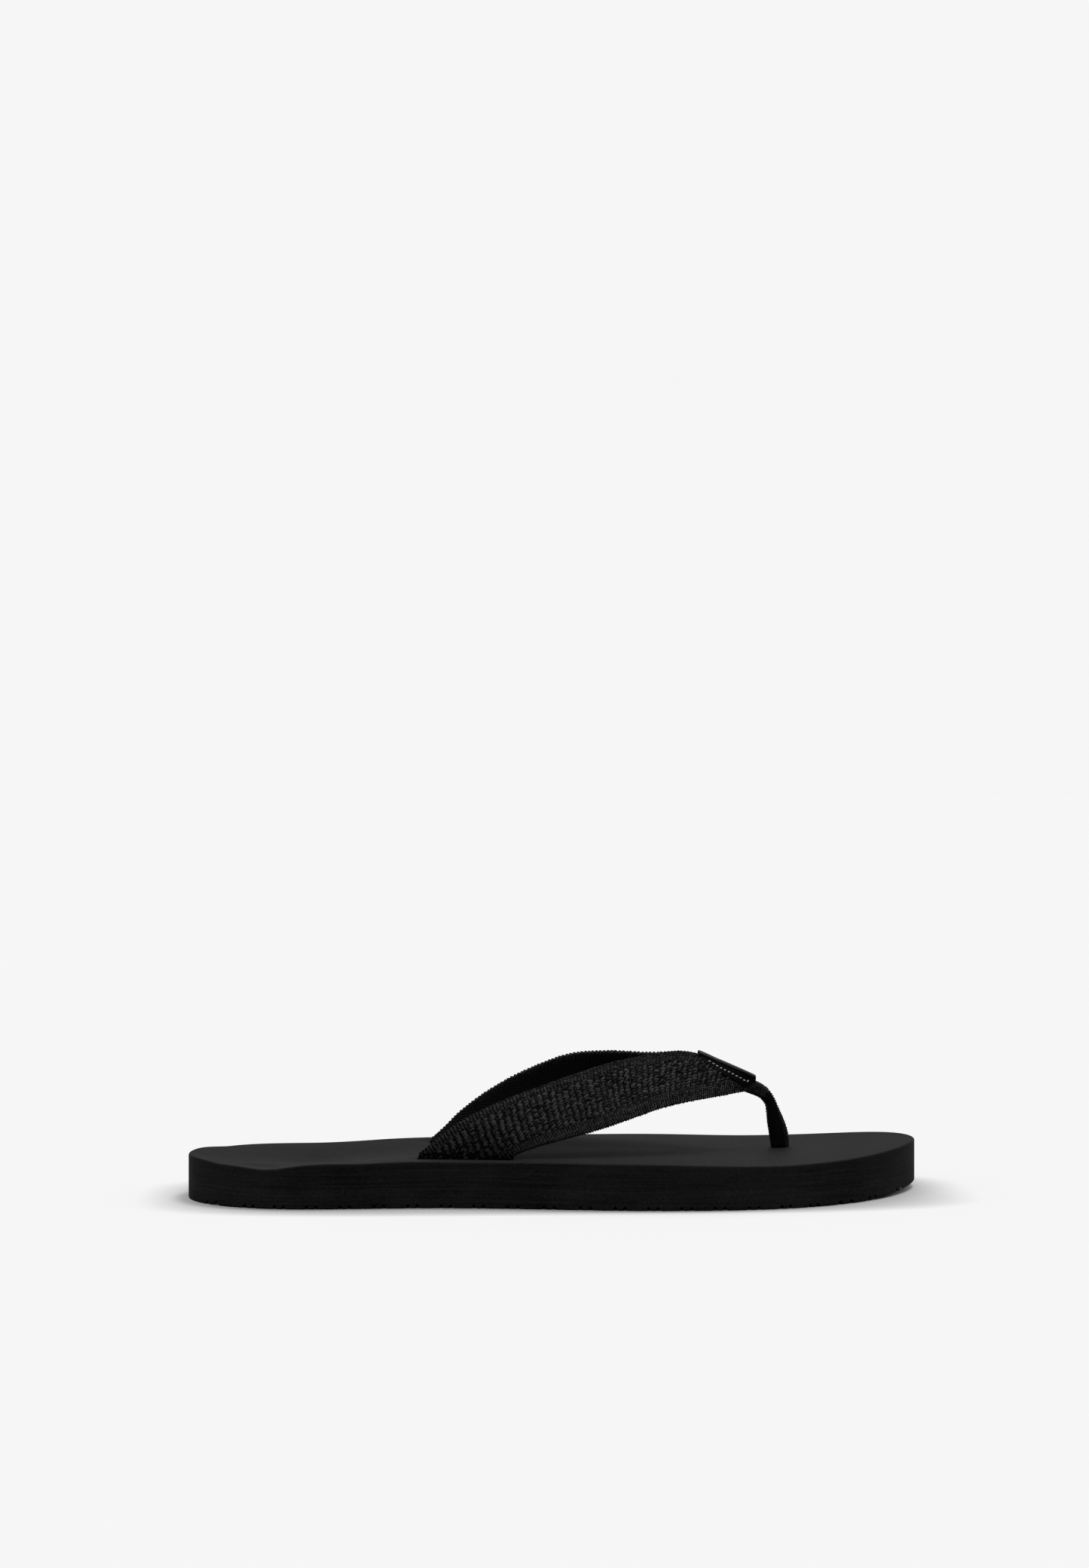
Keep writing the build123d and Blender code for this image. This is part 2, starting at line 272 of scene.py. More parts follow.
def foam(name, colour, roughness, grain_size, grain_strength):
    """Matt foam: soft clouds and specks of tone, blade streaks on the walls, and fine pores."""
    material, tree, shader = new_material(name, colour, roughness, specular=0.022)
    where = add_node(tree, "ShaderNodeTexCoord")
    stretch = add_node(tree, "ShaderNodeMapping")
    stretch.inputs["Scale"].default_value = streak_scale
    streaks = add_node(tree, "ShaderNodeTexNoise", {"Scale": 1.0, "Detail": 3.0})
    tree.links.new(where.outputs["Object"], stretch.inputs["Vector"])
    tree.links.new(stretch.outputs["Vector"], streaks.inputs["Vector"])
    # the streaks of the cutting blade belong to the walls, so they fade out on flat faces
    facing = add_node(tree, "ShaderNodeSeparateXYZ")
    tree.links.new(where.outputs["Normal"], facing.inputs[0])
    upright = add_math(tree, "ABSOLUTE", facing.outputs["Z"])
    on_wall = add_node(
        tree, "ShaderNodeMapRange",
        {"From Min": 0.35, "From Max": 0.75, "To Min": 1.0, "To Max": 0.0},
    )
    tree.links.new(upright, on_wall.inputs["Value"])
    faded = add_node(tree, "ShaderNodeMix", {2: 0.5}, data_type="FLOAT")
    tree.links.new(on_wall.outputs["Result"], faded.inputs[0])
    tree.links.new(streaks.outputs["Fac"], faded.inputs[3])
    clouds = object_noise(tree, cloud_scale, 4.0)
    specks = object_noise(tree, speck_scale, 2.0, 0.8)
    total = add_math(tree, "ADD", add_math(tree, "ADD", clouds, faded.outputs[0]), specks)
    cloudy = add_math(tree, "MULTIPLY", total, 1.0 / 3.0)
    colour_range(tree, shader, cloudy, colour, (0.35, 1.9), 0.38, 0.62)
    rough = add_node(
        tree,
        "ShaderNodeMapRange",
        {"From Min": 0.3, "From Max": 0.7, "To Min": roughness - 0.05, "To Max": roughness + 0.07},
    )
    tree.links.new(cloudy, rough.inputs["Value"])
    tree.links.new(rough.outputs["Result"], shader.inputs["Roughness"])
    grain = object_noise(tree, 1.0 / grain_size, 2.0, 0.5)
    first = add_bump(tree, shader, grain, grain_strength, 0.00025)
    pores = add_node(tree, "ShaderNodeTexVoronoi", {"Scale": 0.55 / grain_size})
    tree.links.new(where.outputs["Object"], pores.inputs["Vector"])
    add_bump(tree, shader, pores.outputs["Distance"], grain_strength * 0.6, 0.00020, first)
    return material


footbed_foam = foam("footbed_foam", (0.0034, 0.0034, 0.0034), 0.72, 0.0007, 0.8)
outsole_foam = foam("outsole_foam", (0.0044, 0.0043, 0.0042), 0.74, 0.0009, 0.8)


# %% Yarn of the strap, cloth of the label and webbing of the post
def yarn(name, colour, roughness, specular, thread_scale, spread=(0.62, 1.5)):
    """Yarn whose shade attribute, from 0 to 1, picks a tone between the spread's two factors."""
    material, tree, shader = new_material(name, colour, roughness, specular)
    shade = add_node(tree, "ShaderNodeAttribute", attribute_name="shade")
    colour_range(tree, shader, shade.outputs["Fac"], colour, spread, 0.0, 1.0)
    fibres = object_noise(tree, thread_scale, 2.0, 0.7)
    add_bump(tree, shader, fibres, 0.35, 0.00008)
    return material


strap_yarn = yarn("strap_yarn", (0.0098, 0.0098, 0.0098), 0.60, 0.04, 4200.0, (0.22, 2.1))
ribbed_yarn = yarn("ribbed_yarn", (0.0040, 0.0040, 0.0040), 0.70, 0.01, 3600.0, (0.12, 3.0))
label_satin = yarn("label_satin", (0.0030, 0.0030, 0.0031), 0.50, 0.01, 5200.0, (0.22, 4.5))
label_thread = yarn("label_thread", (0.22, 0.22, 0.225), 0.55, 0.05, 5200.0)
post_yarn = yarn("post_yarn", (0.0016, 0.0016, 0.0016), 0.60, 0.01, 3600.0)
print("materials:", [m.name for m in bpy.data.materials])

# %% [markdown]
# ## The outline of the sole
# Both foam layers share one outline, cut by a die. It could be drawn again with control points,
# but the CAD outsole already holds it: its upper face is flat, so every vertex there that isn't
# on the flex cut lies on the outline. Sorting them by angle gives the curve.


# %% Read the outline from the CAD outsole
def outline_from_cad():
    found = []
    for node in ("outsole_rear", "outsole_front"):
        for v in frame["nodes"][node].data.vertices:
            on_cut = abs(v.co.x - flex_line.x) < 1.0 * MM
            if v.co.z > parting_z - 0.01 * MM and not on_cut:
                found.append((v.co.x, v.co.y))
    found = np.unique(np.round(found, 6), axis=0)
    order = np.argsort(np.arctan2(found[:, 1], found[:, 0]))
    return found[order]


def resampled_outline(half_count):
    """Points from the heel along the outer side to the toe, then back along the inner side."""
    ring = outline_from_cad()
    heel = np.argmin(ring[:, 0])
    ring = np.roll(ring, -heel, axis=0)
    closed = np.vstack([ring, ring[:1]])
    steps = distance_along(closed)
    dense = at_distances(closed, steps, np.linspace(0, steps[-1], 1200, endpoint=False))
    # a short moving average smooths the corners between the CAD vertices
    kernel = np.hanning(23) / np.hanning(23).sum()
    pad = len(kernel) // 2
    wrapped = np.vstack([dense[-pad:], dense, dense[:pad]])
    dense = np.stack([np.convolve(wrapped[:, k], kernel, "valid") for k in (0, 1)], 1)
    toe = int(np.argmax(dense[:, 0]))
    sides = []
    for part in (dense[: toe + 1], np.vstack([dense[toe:], dense[:1]])):
        run = distance_along(part)
        sides.append(at_distances(part, run, np.linspace(0, run[-1], half_count, endpoint=False)))
    return np.vstack(sides)


half_count = 230
outline = resampled_outline(half_count)
edge = np.roll(outline, -1, axis=0) - np.roll(outline, 1, axis=0)
edge /= np.linalg.norm(edge, axis=1)[:, None]
inward = np.stack([-edge[:, 1], edge[:, 0]], 1)
print("outline points:", len(outline), "first", np.round(outline[0] / MM, 1))

# %% [markdown]
# ## The shape of the footbed
# A foot needs a cup for the heel, a slight rise under the arch and a dip for the ball. The CAD
# model builds its top from one height rule, and the same rule is used here in metres. Two small
# things are added: the heel rim swells a little, and the foam dips where strap and post pull in.

# %% Height rule of the footbed
sole_top = 17.2 * MM
heel_drop = 1.6 * MM
ball_drop = 1.1 * MM
toe_rise = 1.7 * MM
heel_cup_depth = 3.4 * MM
forefoot_dish_depth = 0.9 * MM
arch_height = 1.6 * MM
heel_width = 78.0 * MM
foot_width = 105.0 * MM


def footbed_height(x, y):
    u = x / sole_length
    z = sole_top - heel_drop * (1 - smoothstep((u + 0.34) / 0.18))
    z = z - ball_drop * bump((u - 0.28) / 0.11)
    z = z + toe_rise * smoothstep((u - 0.34) / 0.18) ** 1.5
    cup = bump((u + 0.33) / 0.145) * bump(y / (0.34 * heel_width)) ** 1.2
    dish = bump((u - 0.20) / 0.16) * bump(y / (0.36 * foot_width))
    arch = bump((u + 0.10) / 0.15) * smoothstep((y - 0.02 * foot_width) / (0.40 * foot_width))
    return z - heel_cup_depth * cup - forefoot_dish_depth * dish + arch_height * arch


def moulded_lip(x, y):
    """Small swells of the real foam: a raised heel end and a step in the outer heel rim."""
    heel = 0.6 * MM * (1 - smoothstep((x + 70 * MM) / (30 * MM)))
    end = 1.3 * MM * smoothstep((-126 * MM - x) / (13 * MM))
    outer = smoothstep((-y - 14 * MM) / (14 * MM))
    dip = -1.4 * MM * bump((x + 111 * MM) / (10 * MM)) + 0.6 * MM * bump((x + 90 * MM) / (11 * MM))
    return heel + end + outer * dip


strap_roots = {
    "lateral": (np.array([-54.5, -24.0]) * MM, np.array([-20.0, -31.0]) * MM),
    "medial": (np.array([-48.5, 24.5]) * MM, np.array([-14.0, 29.0]) * MM),
}
pull_depth = 0.7 * MM
pull_width = 3.2 * MM


def pulled_in(x, y):
    """How far the foam is drawn down beside the strap slots and the toe post."""
    drop = np.zeros_like(x)
    for rear, front in strap_roots.values():
        along = front - rear
        t = ((x - rear[0]) * along[0] + (y - rear[1]) * along[1]) / (along @ along)
        t = np.clip(t, 0, 1)
        away = np.hypot(x - rear[0] - t * along[0], y - rear[1] - t * along[1])
        drop = np.maximum(drop, pull_depth * bump(away / pull_width))
    away = np.hypot(x - post_pivot.x, y - post_pivot.y)
    return np.maximum(drop, 0.4 * pull_depth * bump(away / (1.4 * pull_width)))


# %% A closed layer of the sole between two height rules
def sole_layer(name, low_rule, high_rule, low_radius, high_radius, material, cross=34):
    """Rings follow the outline round the rim; straight cross-lines fill top and bottom."""
    count = len(outline)
    arc = np.linspace(0, math.pi / 2, 6)
    flat_margin = 0.4 * MM

    def rounded_rim(rule, radius, up):
        made = []
        bends = [(1 - math.sin(angle), 1 - math.cos(angle)) for angle in arc]
        for inset, rise in [(1 + flat_margin / radius, 0.0), *bends]:
            xy = outline + inward * radius * inset
            made.append(np.column_stack([xy, rule(xy[:, 0], xy[:, 1]) + up * radius * rise]))
        return made

    points = rounded_rim(low_rule, low_radius, 1) + rounded_rim(high_rule, high_radius, -1)[::-1]
    # the wall between the two rounded rims
    split = len(arc) + 1
    low_wall, high_wall = points[split - 1], points[split]
    walls = [low_wall + (high_wall - low_wall) * k for k in (0.04, 0.25, 0.5, 0.75, 0.96)]
    points = points[:split] + walls + points[split:]
    vertices = np.vstack(points)
    faces = []
    for r in range(len(points) - 1):
        for i in range(count):
            j = (i + 1) % count
            faces.append((r * count + i, r * count + j, (r + 1) * count + j, (r + 1) * count + i))
    made = [vertices]
    total = len(vertices)
    # the flat faces, one cross-line after another from the heel to the toe
    for ring, rule, flip in ((0, low_rule, True), (len(points) - 1, high_rule, False)):
        loop = points[ring]
        start = ring * count
        grid = {}
        extra = []
        for k in range(half_count + 1):
            a, b = k % count, (count - k) % count
            grid[k, 0] = start + a
            grid[k, cross] = start + b
            for j in range(1, cross):
                if a == b:
                    grid[k, j] = start + a
                    continue
                t = j / cross
                extra.append(loop[a, :2] * (1 - t) + loop[b, :2] * t)
                grid[k, j] = total + len(extra) - 1
        extra = np.array(extra)
        made.append(np.column_stack([extra, rule(extra[:, 0], extra[:, 1])]))
        total += len(extra)
        for k in range(half_count):
            for j in range(cross):
                quad = (grid[k, j], grid[k + 1, j], grid[k + 1, j + 1], grid[k, j + 1])
                corners = []
                for c in quad if not flip else quad[::-1]:
                    if c not in corners:
                        corners.append(c)
                if len(corners) > 2:
                    faces.append(tuple(corners))
    return new_piece(name, np.vstack(made), faces, material)


# %% Make the footbed
def footbed_surface(x, y):
    return footbed_height(x, y) + moulded_lip(x, y) - pulled_in(x, y)


def flat_parting(x, y):
    return np.full_like(x, parting_z)


footbed = sole_layer(
    "footbed", flat_parting, footbed_surface, 0.10 * MM, 0.7 * MM, footbed_foam
)
outward_normals(footbed)
print("footbed triangles:", triangles(footbed))

# %% [markdown]
# ## The outsole and its tread
# The tread is cut in pairs of wavy grooves that run right across and show as small notches at
# the edge. They could be drawn in the material, but the notches break the silhouette, so they
# are cut. Geometry Nodes lay one wavy cutter after another along the sole and subtract them.

# %% The plain outsole layer
toe_spring = 2.8 * MM
spring_start = 0.36
spring_run = 0.14


def ground(x, y):
    """The lower face: flat, and curling up towards the toe end."""
    return toe_spring * (np.maximum(0.0, x / sole_length - spring_start) / spring_run) ** 2


outsole = sole_layer("outsole", ground, flat_parting, 0.5 * MM, 0.10 * MM, outsole_foam)
outward_normals(outsole)
print("outsole triangles:", triangles(outsole))


# %% Node helpers for Geometry Nodes
class Graph:
    """A thin wrapper that keeps node trees short enough to read."""

    def __init__(self, name, sizes):
        self.tree = bpy.data.node_groups.new(name, "GeometryNodeTree")
        side = self.tree.interface
        for direction in ("INPUT", "OUTPUT"):
            side.new_socket("Geometry", in_out=direction, socket_type="NodeSocketGeometry")
        for label, kind, value in sizes:
            socket = side.new_socket(label, in_out="INPUT", socket_type="NodeSocket" + kind)
            if value is not None:
                socket.default_value = value
        self.inputs = self.tree.nodes.new("NodeGroupInput")
        self.output = self.tree.nodes.new("NodeGroupOutput")

    def input(self, label):
        return self.inputs.outputs[label]

    def add(self, kind, links=None, **settings):
        node = self.tree.nodes.new(kind)
        for key, value in settings.items():
            setattr(node, key, value)
        for key, value in (links or {}).items():
            self.feed(node.inputs[key], value)
        return node

    def get(self, kind, links=None, **settings):
        """Add a node and hand back its first output."""
        return self.add(kind, links, **settings).outputs[0]

    def feed(self, socket, value):
        if isinstance(value, bpy.types.NodeSocket):
            self.tree.links.new(value, socket)
        elif value is not None:
            socket.default_value = value

    def math(self, operation, a, b=None, c=None):
        node = self.add("ShaderNodeMath", operation=operation)
        for socket, value in zip(node.inputs, (a, b, c)):
            self.feed(socket, value)
        return node.outputs[0]

    def vector(self, x=0.0, y=0.0, z=0.0):
        return self.get("ShaderNodeCombineXYZ", {"X": x, "Y": y, "Z": z})

    def part(self, vector, axis):
        return self.add("ShaderNodeSeparateXYZ", {0: vector}).outputs[axis]

    def turned_to(self, vector, **settings):
        return self.add("FunctionNodeAlignRotationToVector", {"Vector": vector}, **settings)

    def turned_further(self, rotation, x=0.0, y=0.0, z=0.0):
        by = self.get("FunctionNodeEulerToRotation", {0: self.vector(x, y, z)})
        return self.get(
            "FunctionNodeRotateRotation",
            {"Rotation": rotation, "Rotate By": by},
            rotation_space="LOCAL",
        )

    def small_ball(self, segments, rings, rotation):
        ball = self.get(
            "GeometryNodeMeshUVSphere", {"Segments": segments, "Rings": rings, "Radius": 0.5}
        )
        ball = self.add("GeometryNodeTransform", {"Geometry": ball, "Rotation": rotation})
        return self.get("GeometryNodeSetShadeSmooth", {"Geometry": ball.outputs[0]})

    def copies(self, points, instance, **more):
        """One real copy of the instance on each point."""
        placed = self.get(
            "GeometryNodeInstanceOnPoints", {"Points": points, "Instance": instance, **more}
        )
        return self.get("GeometryNodeRealizeInstances", {"Geometry": placed})

    def finish(self, geometry):
        """Give the result its material and close the tree."""
        done = self.get(
            "GeometryNodeSetMaterial", {"Geometry": geometry, "Material": self.input("Material")}
        )
        self.tree.links.new(done, self.output.inputs["Geometry"])
        return self.tree


def run_nodes(piece, tree, values=None):
    """Run a tree on a piece, keep the result as its plain mesh, and drop the modifier."""
    modifier = piece.modifiers.new("nodes", "NODES")
    modifier.node_group = tree
    for item in tree.interface.items_tree:
        if item.item_type == "SOCKET" and item.in_out == "INPUT" and item.name in (values or {}):
            modifier[item.identifier] = values[item.name]
    bpy.context.view_layer.update()
    depsgraph = bpy.context.evaluated_depsgraph_get()
    result = bpy.data.meshes.new_from_object(
        piece.evaluated_get(depsgraph), preserve_all_data_layers=True, depsgraph=depsgraph
    )
    piece.modifiers.remove(modifier)
    old = piece.data
    piece.data = result
    bpy.data.meshes.remove(old)
    return piece


# %% Grooves of the tread
def groove_tree():
    g = Graph(
        "tread_grooves",
        [
            ("Pitch", "Float", 12.4 * MM),
            ("Spacing", "Float", 3.5 * MM),
            ("Groove Width", "Float", 2.3 * MM),
            ("Groove Depth", "Float", 1.5 * MM),
            ("Wave", "Float", 1.1 * MM),
            ("Wave Length", "Float", 17.0 * MM),
            ("Phase", "Float", 1.2),
            ("Rows", "Int", 22),
            ("Span", "Float", 125.0 * MM),
            ("Material", "Material", None),
        ],
    )
    half = g.math("MULTIPLY", g.input("Span"), 0.5)
    line = g.get(
        "GeometryNodeCurvePrimitiveLine",
        {
            "Start": g.vector(0.0, g.math("MULTIPLY", half, -1.0), 0.0),
            "End": g.vector(0.0, half, 0.0),
        },
    )
    dense = g.get("GeometryNodeResampleCurve", {"Curve": line, "Count": 110})
    place = g.get("GeometryNodeInputPosition")
    turns = g.math("DIVIDE", g.part(place, "Y"), g.input("Wave Length"))
    swing = g.math("SINE", g.math("MULTIPLY_ADD", turns, 2 * math.pi, g.input("Phase")))
    wave = g.math("MULTIPLY", swing, g.input("Wave"))
    waved = g.get(
        "GeometryNodeSetPosition", {"Geometry": dense, "Offset": g.vector(wave)}
    )
    # half of the profile lies below the sole, so the groove has its width at the ground
    profile = g.get(
        "GeometryNodeCurvePrimitiveQuadrilateral",
        {
            "Bottom Width": g.math("MULTIPLY", g.input("Groove Width"), 0.2),
            "Top Width": g.math("MULTIPLY", g.input("Groove Width"), 1.8),
            "Height": g.math("MULTIPLY", g.input("Groove Depth"), 2.0),
            "Offset": 0.0,
        },
        mode="TRAPEZOID",
    )
    bar = g.get(
        "GeometryNodeCurveToMesh",
        {"Curve": waved, "Profile Curve": profile, "Fill Caps": True},
    )
    rows = g.input("Rows")
    count = g.math("MULTIPLY", rows, 2.0)
    points = g.get("GeometryNodePoints", {"Count": count})
    index = g.get("GeometryNodeInputIndex")
    pair = g.math("FLOOR", g.math("MULTIPLY", index, 0.5))
    which = g.math("SUBTRACT", g.math("MODULO", index, 2.0), 0.5)
    middle = g.math("MULTIPLY", g.math("SUBTRACT", rows, 1.0), 0.5)
    centre = g.math("MULTIPLY", g.math("SUBTRACT", pair, middle), g.input("Pitch"))
    x = g.math("MULTIPLY_ADD", which, g.input("Spacing"), centre)
    placed = g.get(
        "GeometryNodeSetPosition", {"Geometry": points, "Position": g.vector(x)}
    )
    cutters = g.copies(placed, bar)
    # the cutters follow the toe end, which curls up from the floor
    from_start = g.math("SUBTRACT", g.part(place, "X"), spring_start * sole_length)
    t = g.math("DIVIDE", from_start, spring_run * sole_length)
    lift = g.math("MULTIPLY", g.math("POWER", g.math("MAXIMUM", t, 0.0), 2.0), toe_spring)
    curled = g.get(
        "GeometryNodeSetPosition",
        {"Geometry": cutters, "Offset": g.vector(0.0, 0.0, lift)},
    )
    cut = g.get(
        "GeometryNodeMeshBoolean",
        {"Mesh 1": g.input("Geometry"), "Mesh 2": curled},
        operation="DIFFERENCE",
        solver="MANIFOLD",
    )
    return g.finish(cut)


run_nodes(outsole, groove_tree(), {"Material": outsole_foam})
outsole.data.shade_smooth()
outsole.data.set_sharp_from_angle(angle=math.radians(38))
print("outsole with tread:", triangles(outsole), "triangles")

# %% [markdown]
# ## Strap webbing
# The strap is a flat woven band that leaves the footbed near the waist and tapers towards the
# toe post. Its outer face is a raised weave between two plain edges; its inner face is ribbed
# crosswise. First comes the plain band, a grid between its two edges. Its UV map counts real
# distance along and across the cloth, so that the weave can be laid on it later at true size.

# %% Edges of the two arms
strap_rows = {
    "lateral": (
        [
            (-54.5, -24.0, 0.5), (-46.8, -22.3, 6.4), (-36.9, -20.0, 13.0), (-22.1, -16.5, 19.7),
            (-3.0, -11.0, 26.1), (17.1, -4.6, 32.1), (30.0, 0.0, 34.5), (42.6, 4.5, 36.3),
            (52.5, 8.6, 35.6), (63.0, 10.9, 31.3), (74.9, 12.2, 25.2),
        ],
        [
            (-20.0, -31.0, 0.0), (-16.5, -31.9, 2.2), (-11.0, -31.8, 4.2), (-3.0, -31.0, 6.4),
            (8.0, -28.8, 8.9), (18.0, -25.6, 11.4), (27.0, -22.2, 14.1), (38.0, -16.2, 17.0),
            (49.0, -9.3, 18.7), (60.5, -0.2, 19.6), (73.9, 11.0, 20.6),
        ],
    ),
    "medial": (
        [
            (-48.5, 24.5, 0.8), (-43.0, 25.5, 5.6), (-35.5, 26.2, 12.6), (-24.0, 26.0, 20.8),
            (-10.9, 24.8, 27.8), (5.0, 21.6, 34.0), (20.0, 19.2, 35.5), (36.0, 17.0, 35.0),
            (52.5, 15.2, 35.2), (63.0, 14.5, 31.3), (74.9, 14.2, 25.2),
        ],
        [
            (-14.0, 29.0, 0.5), (-11.0, 31.0, 3.0), (-6.0, 33.0, 5.8), (3.0, 34.4, 8.4),
            (13.0, 35.0, 11.0), (23.0, 34.0, 13.4), (33.0, 31.6, 15.6), (43.0, 28.0, 17.4),
            (53.0, 22.8, 18.8), (62.6, 18.2, 19.7), (73.9, 15.4, 20.6),
        ],
    ),
}
band_sides = {"lateral": -1.0, "medial": 1.0}
band_thickness = 1.0 * MM
cloth_span = 150 * MM
bow_height = 1.5 * MM
crease_x, crease_length, crease_depth = 21 * MM, 6 * MM, 1.5 * MM
crease_slope = -16 * MM
slot_depth = 3.0 * MM


def arm_edges(side, columns):
    upper, lower = (np.array(r) * MM + [0, 0, sole_top] for r in strap_rows[side])
    return smooth_through(upper, columns), smooth_through(lower, columns)


# %% The plain band of one arm
def band(side, columns, rows):
    """Grid of points on the middle of the webbing, distance along it and its width."""
    upper, lower = arm_edges(side, columns)
    width = np.linalg.norm(upper - lower, axis=1)
    rise = smoothstep((upper[:, 2] - sole_top) / (12 * MM))
    bow = bow_height * np.minimum(1, width / (30 * MM)) * rise
    across = np.linspace(0, 1, rows)
    grid = lower[:, None] + (upper - lower)[:, None] * across[None, :, None]
    arch = (4 * across * (1 - across))[None, :] * bow[:, None]
    if side == "lateral":
        slide = (grid[:, :, 0] - crease_x - crease_slope * (across[None, :] - 0.5)) / crease_length
        arch = arch - crease_depth * bump(slide) * bump((across[None, :] - 0.5) / 0.26)
    grid[:, :, 1] += band_sides[side] * 0.75 * arch
    grid[:, :, 2] += 0.65 * arch
    root = smoothstep(1 - (grid[:, :, 2] - sole_top) / (1.3 * MM))
    grid[:, :, 2] -= root * slot_depth
    return grid, distance_along((upper + lower) / 2), width


def grid_normals(grid):
    normal = np.cross(np.gradient(grid, axis=0), np.gradient(grid, axis=1))
    return normal / np.maximum(np.linalg.norm(normal, axis=2), 1e-12)[:, :, None]


def outer_normals(side, grid):
    """Normals of an arm's grid that point away from the foot."""
    normal = grid_normals(grid)
    return -normal if normal[:, :, 1].mean() * band_sides[side] < 0 else normal


for side in strap_rows:
    grid, along, width = band(side, 100, 9)
    print(side, "arm:", round(along[-1] / MM), "mm long,", round(width.max() / MM, 1), "mm wide")


# %% [markdown]
# A closed band has an outer face, an inner face and two rounded edges. One ring of points goes
# round each cross-section, and the inner half of the ring carries the crosswise ribs.


# %% Close the band and rib its inner face
rib_pitch = 1.5 * MM
rib_height = 0.40 * MM


def closed_tube(name, rings, material):
    """Rings of points, one after another, joined into a closed tube with flat ends."""
    count, ring = len(rings), len(rings[0])
    points = np.vstack(rings)
    faces = []
    for i in range(count - 1):
        for j in range(ring):
            k = (j + 1) % ring
            faces.append((i * ring + j, i * ring + k, (i + 1) * ring + k, (i + 1) * ring + j))
    half = ring // 2
    for start, flip in ((0, True), ((count - 1) * ring, False)):
        for j in range(half - 1):
            quad = (start + j, start + j + 1, start + ring - 2 - j, start + ring - 1 - j)
            faces.append(quad[::-1] if flip else quad)
    piece = new_piece(name, points, faces, material)
    outward_normals(piece)
    return piece


def set_shade(piece, values):
    layer = piece.data.attributes.new("shade", "FLOAT", "POINT")
    layer.data.foreach_set("value", np.asarray(values, np.float32))


def webbing(side, columns=520, rows=28):
    grid = band(side, columns, rows)[0]
    normal = outer_normals(side, grid)
    half = band_thickness / 2
    taper = np.ones(rows)
    taper[[0, -1]] = 0.45
    ribs = 0.5 + 0.5 * np.cos(2 * math.pi * grid[:, :, 0] / rib_pitch)
    outer = grid + normal * (half * taper)[None, :, None]
    depth = half * taper[None, :] + rib_height * ribs * (taper > 0.5)[None, :]
    inner = grid - normal * depth[:, :, None]
    rings = np.concatenate([outer, inner[:, ::-1]], axis=1)
    piece = closed_tube(f"{side}_webbing", list(rings), ribbed_yarn)
    # painted shade: the outer face under the floats is near black for the gaps between them, and the inner
    # face is painted lighter on the rib tops and darker in the rib valleys
    rib_highlight_and_shade = 0.15 + 0.85 * ribs[:, ::-1]
    set_shade(piece, np.concatenate([np.zeros_like(ribs), rib_highlight_and_shade], axis=1).reshape(-1))
    return piece


webbings = {side: webbing(side) for side in strap_rows}
for piece in webbings.values():
    print(piece.name, triangles(piece), "triangles")


# %% [markdown]
# ## The raised weave
# On the real strap thick yarn floats over the ground weave and dips back under it, so the face
# is a field of little lumps with dark gaps. It is made the same way here: a node tree lays rows
# of floats over the cloth, each one turned to the surface and tucked in at its ends. The webbing
# under them is painted near black, a painted shade that deepens the gaps. Yarn doesn't lie
# exactly even, so position, size and shade vary a little with a fixed seed.


# %% The cloth that the floats lie on
def cloth(name, grid, along, normal, lift):
    """A single face of cloth whose UV maps hold distances along and across it."""
    columns, rows = grid.shape[:2]
    points = (grid + normal * lift).reshape(-1, 3)
    quads = []
    for i in range(columns - 1):
        for a in range(i * rows, (i + 1) * rows - 1):
            quads.append((a, a + rows, a + rows + 1, a + 1))
    piece = new_piece(name, points, quads)
    first = piece.data.polygons[len(quads) // 2]
    flat = normal.reshape(-1, 3)[first.vertices[0]]
    if first.normal.dot(Vector(flat)) < 0:
        piece.data.flip_normals()
    corner = np.zeros(len(piece.data.loops), int)
    piece.data.loops.foreach_get("vertex_index", corner)
    lower = distance_across(grid)
    for label, distance in (("from_lower", lower), ("from_upper", lower[:, -1:] - lower)):
        layer = piece.data.uv_layers.new(name=label)
        uv = np.stack([np.repeat(along, rows), distance.reshape(-1)], 1) / cloth_span
        layer.uv.foreach_set("vector", uv[corner].astype(np.float32).ravel())
    course = np.gradient(grid, axis=0).reshape(-1, 3)
    layer = piece.data.attributes.new("course", "FLOAT_VECTOR", "POINT")
    layer.data.foreach_set("vector", course.astype(np.float32).ravel())
    return piece


def arm_cloth(side, columns=360, rows=40, inner=False):
    grid, along, _ = band(side, columns, rows)
    normal = outer_normals(side, grid) * (-1 if inner else 1)
    return cloth(f"{side}_cloth", grid, along, normal, band_thickness / 2)


